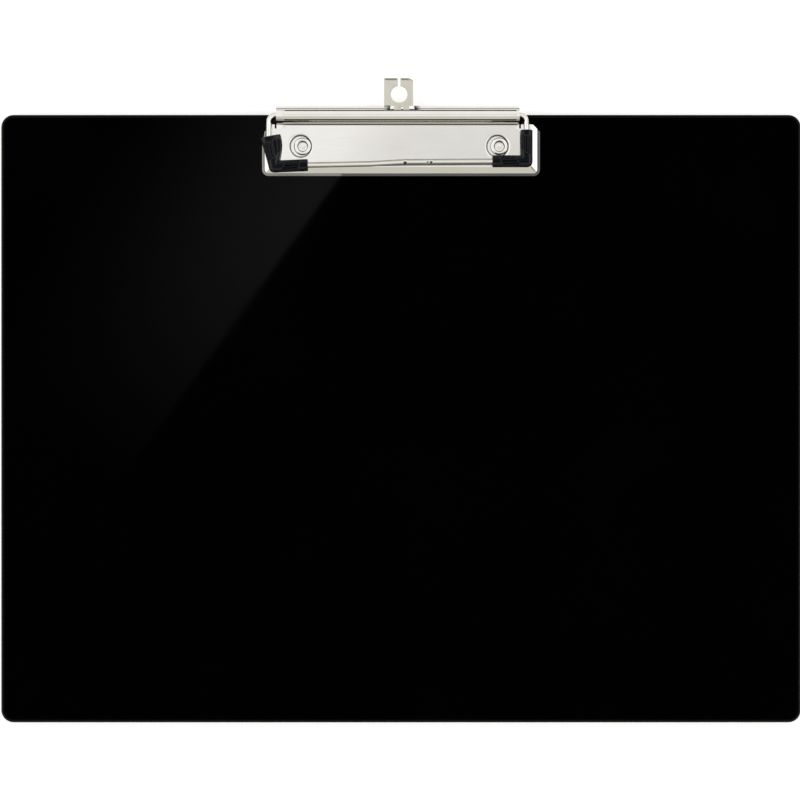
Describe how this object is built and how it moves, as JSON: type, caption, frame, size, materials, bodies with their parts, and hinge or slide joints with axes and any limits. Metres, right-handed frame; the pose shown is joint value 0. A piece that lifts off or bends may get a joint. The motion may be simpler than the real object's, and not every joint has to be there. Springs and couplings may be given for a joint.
{
  "type": "clipboard",
  "caption": "Landscape clipboard of glossy black plastic with a low wire clip riveted to one long edge, ribbed rubber corner sleeves and a keyhole hanging tab.",
  "frame": {"origin": "centre of the board's underside, in the plane of the flat back", "axes": "+X along the long edges, to the right as the clip is read; +Y towards the long edge that carries the clip; +Z out of the writing face"},
  "size_m": [0.3174, 0.2556, 0.0107],
  "materials": {
    "board_plastic": "moulded, high gloss black",
    "nickel_plate": "bright nickel plate on pressed steel sheet",
    "nickel_wire": "bright nickel plate on drawn wire",
    "spring_steel": "blued spring strip",
    "sleeve_rubber": "moulded, satin, ribbed along its length"
  },
  "bodies": {
    "board_and_clip": {"board": "board_plastic", "base_plate": "nickel_plate", "rivet_left": "nickel_plate", "rivet_right": "nickel_plate", "leaf_spring": "spring_steel"},
    "bail": {"wire_bail": "nickel_wire", "corner_sleeve_left": "sleeve_rubber", "corner_sleeve_right": "sleeve_rubber"},
    "hanger": {"hanging_tab": "nickel_plate"}
  },
  "joints": [
    {"name": "bail_hinge", "type": "hinge", "parent": "board_and_clip", "child": "bail", "pos_m": [0, 0.12025, 0.0071], "axis": [-1, 0, 0], "range_deg": [0, 100], "stiffness_Nm_per_rad": 0.06, "springref_deg": -114.59},
    {"name": "tab_hinge", "type": "hinge", "parent": "board_and_clip", "child": "hanger", "pos_m": [0, 0.12025, 0.0071], "axis": [1, 0, 0], "range_deg": [0, 80]}
  ]
}
